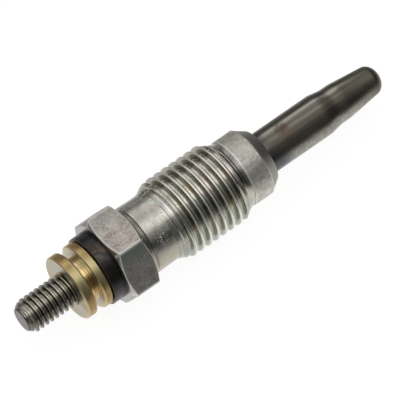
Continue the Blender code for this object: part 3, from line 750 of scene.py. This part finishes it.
class Finish(Patterns):
    """A material in the making: its Principled shader and the patterns that feed it."""

    def __init__(self, name, metallic):
        self.material = bpy.data.materials.new(name)
        self.material.use_nodes = True
        super().__init__(self.material.node_tree)
        self.shader = self.tree.nodes["Principled BSDF"]
        self.shader.inputs["Metallic"].default_value = metallic
        place = self.node("ShaderNodeTexCoord", {}, "Object")
        self.place = self.node("ShaderNodeMapping", {"Vector": place, "Location": (0, 0, -AXIS)})

    def shade(self, **inputs):
        """Set the shader's inputs, with underscores for the spaces in their names."""
        for key, value in inputs.items():
            self.feed(self.shader.inputs[key.replace("_", " ")], value)

    def scaled(self, along, across):
        """The place on the plug, stretched by one factor along its axis and one across it."""
        return self.node("ShaderNodeMapping", {"Vector": self.place, "Scale": (along, across, across)})

    def noise(self, vector, scale, detail=3.0, roughness=0.55):
        """Soft cloudy noise from 0 to 1, scale counting its blots in a metre."""
        inputs = {"Vector": vector, "Scale": scale, "Detail": detail, "Roughness": roughness}
        return self.node("ShaderNodeTexNoise", inputs, "Fac")

    def rings(self, scale):
        """Noise that runs round the axis, as a turning tool leaves it: fine along, slow around."""
        parts = self.parts(self.place)
        angle = self.maths("ARCTAN2", parts["Y"], parts["Z"])
        slow = self.maths("MULTIPLY", angle, RING_DRIFT / scale)
        vector = self.node("ShaderNodeCombineXYZ", {"X": parts["X"], "Y": slow})
        return self.noise(vector, scale, 2.0, 0.5)

    def along(self, place, low, high):
        """0 at the distance low from a place on the axis, 1 at the distance high, straight between."""
        return self.spread(self.parts(self.place)["X"], place + low, place + high)

    def wear(self, low=0.0, high=1.0):
        """The mesh's wear, moved to the range from low to high."""
        node = self.tree.nodes.new("ShaderNodeAttribute")
        node.attribute_name = "wear"
        return self.spread(node.outputs["Fac"], 0.0, 1.0, low, high)

    def lean(self):
        """How far a face leans along the axis: -1 square to the stud's side, 1 square to the tip's."""
        return self.parts(self.node("ShaderNodeNewGeometry", {}, "Normal"))["X"]

    def endwise(self):
        """1 where a face looks along the axis, 0 where it looks away from the axis."""
        return self.spread(self.maths("ABSOLUTE", self.lean()), *END_LEAN)

    def patch(self, place, angle, length, spread):
        """1 in the middle of an oval patch at a place along the axis and an angle round it, 0 outside.

        The oval is (x - place)^2 / length^2 + (angle off)^2 / spread^2 = 1.
        """
        off = self.maths("DIVIDE", self.maths("SUBTRACT", self.parts(self.place)["X"], place), length)
        turn = self.maths("DIVIDE", self.maths("SUBTRACT", self.around(), angle), spread)
        inside = self.maths("ADD", self.maths("POWER", off, 2.0), self.maths("POWER", turn, 2.0))
        return self.spread(inside, 1.0, 0.0)

    def facing(self, low, high):
        """0 where the face's lean along the axis is at low, 1 where it is at high."""
        return self.spread(self.lean(), low, high)

    def around(self):
        """The angle round the axis in degrees: 0 level towards the camera and 90 at the top."""
        parts = self.parts(self.place)
        ahead = self.maths("MULTIPLY", parts["Y"], -1.0)
        return self.maths("MULTIPLY", self.maths("ARCTAN2", parts["Z"], ahead), 180 / math.pi)

    def side(self, stops):
        """A curve by the angle round the axis."""
        return self.ramp(self.around(), stops)

    def bump(self, height, depth, below=None):
        """Small relief from a height of 0 to 1, depth metres deep, over the relief below it."""
        inputs = {"Height": height, "Distance": depth, "Strength": 1.0}
        if below is not None:
            inputs["Normal"] = below
        return self.node("ShaderNodeBump", inputs)


def hexagon_steel():
    """Satin plated flats with fine grain, warm and cool blots, painted grey shade round them and on the
    chamfer, bright worn edges.
    """
    steel = Finish("hexagon_steel", 1.0)
    blots = steel.spread(steel.noise(steel.place, 900, 4.0, 0.6), 0.38, 0.62)
    grain = steel.noise(steel.place, 3800, 3.0, 0.7)
    satin = steel.blend(blots, colour(168, 157, 148), colour(208, 199, 191))
    specked = steel.blend(steel.spread(grain, 0.5, 0.68), satin, colour(238, 231, 225))
    # painted shade: darker grey by the angle round the axis
    shaded = steel.blend(steel.side(HEX_SHADE_SIDE), specked, colour(163, 170, 163))
    ended = steel.blend(steel.endwise(), shaded, colour(194, 194, 191))
    # painted shade on the front chamfer, which faces the stud, by the angle round the axis
    sloped = steel.both(steel.facing(-0.5, -0.8), steel.side(CHAMFER_SHADE_SIDE))
    chamfered = steel.blend(sloped, ended, colour(120, 116, 109))
    steel.shade(
        Base_Color=steel.blend(steel.wear(0.0, 0.75), chamfered, colour(252, 250, 246)),
        Roughness=steel.maths("ADD", steel.spread(grain, 0.3, 0.7, 0.24, 0.38), steel.wear(0.0, 0.26)),
        Normal=steel.bump(grain, 0.000014),
    )
    return steel.material


def neck_steel():
    """Bright turned neck with fine rings and small scuffs; painted warm shade below, a grey band of
    painted dark reflection and painted shade at its foot.
    """
    steel = Finish("neck_steel", 1.0)
    rings = steel.rings(5200)
    blots = steel.spread(steel.noise(steel.place, 1100, 5.0, 0.65), 0.38, 0.62)
    bright = steel.blend(blots, colour(194, 190, 179), colour(220, 219, 212))
    specks = steel.spread(steel.noise(steel.place, 3000, 2.0, 0.6), 0.52, 0.57)
    scuffs = steel.both(specks, steel.patch(*SCUFFS))
    grain = steel.noise(steel.place, 3600, 3.0, 0.65)
    # painted shade: a warmer, darker underside
    warm = steel.blend(steel.side(UNDERSIDE_SHADE_SIDE), bright, colour(184, 176, 156))
    # painted dark reflection: a grey band at one angle round the axis
    dark_reflected = steel.blend(steel.side(DARK_REFLECTION_SIDE), warm, colour(150, 148, 138))
    # painted shade on the foot, in the corner by the hexagon's back
    foot_shaded = steel.blend(steel.along(HEX_BACK, FOOT_END, FOOT_BAND), dark_reflected, colour(190, 186, 176))
    smooth = steel.spread(rings, 0.3, 0.7, 0.18, 0.3)
    steel.shade(
        Base_Color=steel.blend(scuffs, foot_shaded, colour(252, 251, 246)),
        Roughness=steel.maths("ADD", smooth, steel.spread(scuffs, 0, 1, 0, 0.4)),
        Normal=steel.bump(grain, 0.000007, steel.bump(rings, 0.000007)),
    )
    return steel.material


def thread_steel():
    """Plated thread with faint yellow, green and pink tints, dark specks and bright crests.

    Painted shade darkens its flanks towards the stud and some of its sides, and painted light brightens
    its first turns.
    """
    steel = Finish("thread_steel", 1.0)
    tint = steel.noise(steel.place, 300, 2.0)
    cool = steel.blend(steel.spread(tint, 0.36, 0.48), colour(218, 205, 199), colour(206, 209, 195))
    tinted = steel.blend(steel.spread(tint, 0.52, 0.64), cool, colour(220, 212, 187))
    grain = steel.noise(steel.place, 4200, 2.0)
    specked = steel.blend(steel.spread(grain, 0.48, 0.36), tinted, colour(176, 168, 158))
    # painted shade by the angle round the axis
    thread_shaded = steel.blend(steel.side(THREAD_SHADE_SIDE), specked, colour(152, 158, 142))
    # painted shade on the flanks that face the stud
    flank = steel.both(steel.facing(-0.4, -0.86), steel.side(SHADED_SIDE))
    shaded = steel.blend(flank, thread_shaded, colour(138, 133, 122))
    # painted light on the first turns
    start = steel.both(
        steel.along(THREAD_START, *LEAD_HIGHLIGHT_FADE_IN), steel.along(THREAD_START, *LEAD_HIGHLIGHT_FADE_OUT)
    )
    lead_highlighted = steel.blend(steel.both(start, steel.side(LEAD_HIGHLIGHT_SIDE)), shaded, colour(252, 251, 246))
    clouded = steel.both(steel.facing(-0.3, -0.7), steel.side(CLOUDED_SIDE))
    rough = steel.maths("MAXIMUM", steel.wear(0.0, 0.26), clouded)
    steel.shade(
        Base_Color=steel.blend(steel.wear(), lead_highlighted, colour(250, 249, 242)),
        Roughness=steel.maths("ADD", steel.spread(grain, 0.3, 0.7, 0.07, 0.13), rough),
        Normal=steel.bump(grain, 0.000005),
    )
    return steel.material


def collar_steel():
    """Satin collar with fine rings and soft blots."""
    steel = Finish("collar_steel", 1.0)
    rings = steel.rings(7000)
    blots = steel.spread(steel.noise(steel.place, 1500, 5.0, 0.7), 0.38, 0.62)
    grain = steel.noise(steel.place, 3400, 4.0, 0.7)
    satin = steel.blend(blots, colour(198, 193, 182), colour(234, 231, 223))
    steel.shade(
        Base_Color=steel.blend(steel.wear(0.0, 0.8), satin, colour(246, 244, 238)),
        Roughness=steel.spread(rings, 0.3, 0.7, 0.42, 0.58),
        Normal=steel.bump(grain, 0.00003, steel.bump(rings, 0.000005)),
    )
    return steel.material


def cone_steel():
    """Matt grey sealing cone."""
    steel = Finish("cone_steel", 1.0)
    grain = steel.noise(steel.place, 5200, 3.0, 0.65)
    grey = steel.blend(steel.spread(grain, 0.3, 0.7), colour(160, 158, 151), colour(186, 185, 180))
    steel.shade(
        Base_Color=grey,
        Roughness=steel.spread(grain, 0.3, 0.7, 0.4, 0.54),
        Normal=steel.bump(grain, 0.000008),
    )
    return steel.material


def stud_steel():
    """Darkened steel stud with pale crests, a paler start, painted shade on its end-facing flanks and its
    sides, and a pitted, sawn end.
    """
    steel = Finish("stud_steel", 1.0)
    blots = steel.spread(steel.noise(steel.place, 900, 3.0), 0.35, 0.65)
    dark = steel.blend(blots, colour(160, 153, 138), colour(186, 181, 166))
    # painted shade on the flanks that face the stud's end
    shaded = steel.blend(steel.facing(-0.86, -0.4), colour(126, 118, 104), dark)
    worn = steel.blend(steel.wear(), shaded, colour(214, 209, 194))
    started = steel.blend(steel.along(STUD_END, *STUD_START_FADE), worn, colour(206, 201, 187))
    # painted shade on the sides, by the angle round the axis
    stud_side_shaded = steel.blend(steel.side(STUD_SHADE_SIDE), started, colour(112, 108, 98))
    grain = steel.noise(steel.place, 6000, 2.0)
    pits = steel.noise(steel.place, 2600, 4.0, 0.7)
    sawn = steel.blend(steel.spread(pits, 0.4, 0.6), colour(70, 68, 63), colour(118, 115, 108))
    steel.shade(
        Base_Color=steel.blend(steel.along(STUD_END, *STUD_FACE_FADE), sawn, stud_side_shaded),
        Roughness=steel.maths("ADD", steel.spread(grain, 0.3, 0.7, 0.08, 0.16), steel.wear(0.0, 0.10)),
        Normal=steel.bump(grain, 0.000010, steel.bump(pits, 0.000012)),
    )
    return steel.material


def flange_brass():
    """Turned brass, dull, with tool rings, pale end faces, uneven colour, a painted highlight and painted
    shade by the angle round it, and brighter edges.
    """
    brass = Finish("flange_brass", 1.0)
    rings = brass.rings(5200)
    blots = brass.spread(brass.noise(brass.place, 900, 4.0, 0.65), 0.38, 0.62)
    dull = brass.blend(blots, colour(172, 139, 86), colour(208, 180, 126))
    # painted highlight: paler brass a little above the level, where the softbox shines
    brass_highlighted = brass.blend(brass.side(BRASS_HIGHLIGHT_SIDE), dull, colour(204, 190, 142))
    behind_front = brass.along(NUT_FRONT, *NUT_FACE_FADE)
    face = brass.blend(behind_front, colour(188, 183, 162), colour(214, 210, 194))
    faced = brass.blend(brass.endwise(), brass_highlighted, face)
    # painted shade towards the camera, by the angle round the axis
    brass_shaded = brass.blend(brass.side(BRASS_SHADE_SIDE), faced, colour(146, 122, 78))
    edged = brass.blend(brass.wear(0.0, 0.5), brass_shaded, colour(232, 214, 170))
    brass.shade(
        Base_Color=brass.blend(brass.spread(rings, 0.5, 0.8), edged, colour(226, 206, 158)),
        Roughness=brass.spread(rings, 0.3, 0.7, 0.24, 0.4),
        Normal=brass.bump(rings, 0.000007),
    )
    return brass.material


def waist_brass():
    """Bright brass of the waist, with broad turning lines and painted brown shade by the angle round it.
    """
    brass = Finish("waist_brass", 1.0)
    rings = brass.rings(3600)
    bright = brass.blend(brass.spread(rings, 0.4, 0.6), colour(240, 206, 140), colour(255, 240, 194))
    brass.shade(
        # painted brown shade by the angle round the axis
        Base_Color=brass.blend(brass.side(WAIST_SHADE_SIDE), bright, colour(148, 112, 56)),
        Roughness=brass.spread(rings, 0.3, 0.7, 0.12, 0.22),
        Normal=brass.bump(rings, 0.000010),
    )
    return brass.material


def black_moulding():
    """Black phenolic moulding, satin, with brown blots shown as a painted sheen, a painted grey
    reflection below and a brown front edge.
    """
    black = Finish("black_moulding", 0.0)
    blots = black.spread(black.noise(black.place, 1500, 4.0, 0.7), 0.38, 0.62, 0.1, 1.5)
    grain = black.noise(black.place, 6000, 3.0)
    # brown blots, real in their pattern, shown only where the light falls: a painted sheen
    blot_sheen = black.both(blots, black.side(WASHER_SHEEN_SIDE))
    blot_sheened = black.blend(blot_sheen, colour(10, 8, 7), colour(104, 84, 70))
    # painted grey reflection of the white floor, low towards the camera
    floor_reflected = black.blend(black.side(FLOOR_REFLECTION_SIDE), blot_sheened, colour(132, 132, 130))
    black.shade(
        Base_Color=black.blend(black.wear(), floor_reflected, colour(66, 55, 44)),
        Roughness=black.spread(grain, 0.3, 0.7, 0.18, 0.3),
        IOR=1.5,
        Specular_IOR_Level=0.5,
        Normal=black.bump(grain, 0.000008),
    )
    return black.material


def heated_sheath():
    """Drawn sheath, heat tinted brown with lengthwise streaks, with painted light and shade by the angle
    round it, mottles below that carry painted shade, and painted shade and a matt finish at the tip.

    Red and blue tints, a painted pale gleam and a grey band of painted shade beside the shell lie over
    the brown.
    """
    sheath = Finish("heated_sheath", 1.0)
    streaks = sheath.noise(sheath.scaled(0.05, 1.0), 2200, 4.0, 0.65)
    blots = sheath.spread(sheath.noise(sheath.place, 260, 3.0), 0.35, 0.65)
    brown = sheath.blend(blots, colour(146, 134, 126), colour(150, 146, 136))
    streaked = sheath.blend(sheath.spread(streaks, 0.5, 0.7), brown, colour(192, 186, 176))
    # painted light by the angle round the axis
    sheath_lit = sheath.blend(sheath.side(SHEATH_LIGHT_SIDE), streaked, colour(212, 212, 198))
    mottles = sheath.spread(sheath.noise(sheath.place, 1700, 4.0, 0.7), 0.42, 0.56)
    # mottles, real in their pattern, laid as painted shade by the angle round the axis
    mottled_and_shaded = sheath.blend(sheath.both(mottles, sheath.side(MOTTLED_SHADE_SIDE)), sheath_lit, colour(118, 125, 118))
    # painted shade by the angle round the axis, brown like the heat tint
    sheath_shaded = sheath.blend(sheath.side(SHEATH_SHADE_SIDE), mottled_and_shaded, colour(84, 78, 68))
    clouds = sheath.spread(sheath.noise(sheath.place, 1400, 3.0), 0.35, 0.6, 0.5, 0.95)
    reddened = sheath.blend(sheath.both(clouds, sheath.patch(*RED_TINT)), sheath_shaded, colour(102, 84, 74))
    blued = sheath.blend(sheath.patch(*BLUE_TINT), reddened, colour(96, 98, 106))
    # painted shade: a grey band beside the shell
    shell_shaded = sheath.blend(sheath.along(SHELL_END, *SHELL_SHADE_FADE), blued, colour(98, 97, 95))
    # painted highlight: a pale gleam
    gleaming = sheath.blend(sheath.both(clouds, sheath.patch(*GLEAM)), shell_shaded, colour(184, 180, 164))
    # painted shade that darkens the tip; the tip is also rougher
    tip = sheath.along(TIP, *TIP_FADE)
    sheath.shade(
        Base_Color=sheath.blend(tip, gleaming, colour(122, 120, 106)),
        Roughness=sheath.spread(tip, 0.0, 1.0, 0.26, 0.42),
        Normal=sheath.bump(streaks, 0.000006),
    )
    return sheath.material


def inner_finishes():
    """Grain for the sealed pieces that keep their solids."""
    looks = {
        "stud_seal": (0.0, (38, 38, 38), (50, 49, 48), 4000),
        "tube_seal": (0.0, (118, 66, 50), (132, 78, 60), 4000),
        "insulating_powder": (0.0, (226, 224, 216), (238, 237, 231), 9000),
        "regulating_coil": (1.0, (176, 173, 164), (198, 196, 190), 6000),
        "heating_coil": (1.0, (150, 138, 126), (172, 160, 148), 6000),
    }
    for node, (metallic, dark, pale, scale) in looks.items():
        finish = Finish(node + "_finish", metallic)
        grain = finish.noise(finish.place, scale, 3.0)
        finish.shade(
            Base_Color=finish.blend(grain, colour(*dark), colour(*pale)),
            Roughness=finish.spread(grain, 0.3, 0.7, 0.45, 0.75),
            Normal=finish.bump(grain, 0.000006),
        )
        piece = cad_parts[node]
        piece.data.materials.clear()
        piece.data.materials.append(finish.material)


def studio_floor():
    """Round white floor that shows as white, keeps a faint shadow and dims away from the plug.

    What the plug mirrors of it falls off with the distance from the plug: sqrt(y^2 + b^2), with b how
    far a place lies beyond the plug's ends, and y BEHIND_FACTOR times its length behind the plug.
    """
    bpy.ops.mesh.primitive_circle_add(vertices=FLOOR_CORNERS, radius=FLOOR_RADIUS, fill_type="NGON")
    floor = bpy.context.object
    floor.name = "studio_floor"
    white = Finish("floor_white", 0.0)
    seen = white.tree.nodes.new("ShaderNodeLightPath")
    parts = white.parts(white.place)
    beyond = white.maths("MAXIMUM", white.maths("SUBTRACT", white.maths("ABSOLUTE", parts["X"]), TIP))
    behind = white.maths("MAXIMUM", white.maths("MULTIPLY", parts["Y"], BEHIND_FACTOR))
    before = white.maths("MINIMUM", parts["Y"])
    off = white.node("ShaderNodeCombineXYZ", {"X": beyond, "Y": behind, "Z": before})
    away = white.node("ShaderNodeVectorMath", {0: off}, "Value", operation="LENGTH")
    mirrored = white.both(seen.outputs["Is Glossy Ray"], white.ramp(away, FLOOR_DIMMING))
    shown = white.maths("MULTIPLY", seen.outputs["Is Camera Ray"], FLOOR_GLOW)
    white.shade(
        Base_Color=(FLOOR_ALBEDO, FLOOR_ALBEDO, FLOOR_ALBEDO, 1),
        Roughness=1.0,
        Specular_IOR_Level=0.0,
        Emission_Color=(1, 1, 1, 1),
        Emission_Strength=white.maths("ADD", mirrored, shown),
    )
    floor.data.materials.append(white.material)


def studio_light():
    """Sky of one wide softbox over the plug, dim towards the camera and past the tip, and white behind.

    The brightness is the product of two ramps: one over the direction's angle round the plug's axis,
    with 0 level towards the camera, 90 straight up and 180 level at the back, and one over its lean
    along the axis, from -1 towards the stud to 1 towards the tip.
    """
    world = bpy.data.worlds.new("studio")
    bpy.context.scene.world = world
    world.use_nodes = True
    sky = Patterns(world.node_tree)
    parts = sky.parts(sky.node("ShaderNodeTexCoord", {}, "Generated"))
    ahead = sky.maths("MULTIPLY", parts["Y"], -1.0)
    angle = sky.maths("ARCTAN2", parts["Z"], ahead)
    round_axis = sky.ramp(sky.spread(angle, -math.pi, math.pi, -180, 180), SKY_AROUND)
    along_axis = sky.ramp(parts["X"], SKY_ALONG)
    light = sky.both(round_axis, along_axis)
    seen = sky.tree.nodes.new("ShaderNodeLightPath")
    background = sky.tree.nodes["Background"]
    sky.feed(background.inputs["Strength"], sky.node(
        "ShaderNodeMix", {0: seen.outputs["Is Camera Ray"], 2: light, 3: 1.0}, 0, data_type="FLOAT"
    ))
    background.inputs["Color"].default_value = (1, 1, 1, 1)


def camera():
    """Camera at the photograph's angle, with the plug's middle at its place in the 400 pixel frame."""
    axis = Vector((1, 0, 0))
    rise = Vector((0, -math.cos(VIEW_RISE), math.sin(VIEW_RISE)))
    back = -math.sin(VIEW_TILT) * axis + math.cos(VIEW_TILT) * rise
    along = (axis - axis.dot(back) * back).normalized()
    down = -back.cross(along).normalized()
    right = along * math.cos(PICTURE_TURN) + down * math.sin(PICTURE_TURN)
    up = along * math.sin(PICTURE_TURN) - down * math.cos(PICTURE_TURN)
    middle = Vector((0, 0, AXIS))
    across, fall = (place - PICTURE_WIDTH / 2 for place in PLUG_MIDDLE)
    target = middle - right * across * PIXEL + up * fall * PIXEL
    lens = bpy.data.cameras.new("photo_camera")
    lens.sensor_width = SENSOR
    lens.lens = SENSOR * CAMERA_DISTANCE / (PICTURE_WIDTH * PIXEL)
    lens.clip_start = CLIP_START
    viewer = bpy.data.objects.new("photo_camera", lens)
    viewer.matrix_world = Matrix.Translation(target + back * CAMERA_DISTANCE) @ Matrix(
        (right, up, back)
    ).transposed().to_4x4()
    bpy.context.scene.collection.objects.link(viewer)
    bpy.context.scene.camera = viewer
    bpy.context.scene.view_settings.view_transform = "Standard"


plug_shell()
terminal_stud()
round_nut()
insulating_washer()
heater_tube()
inner_finishes()
studio_floor()
studio_light()
camera()
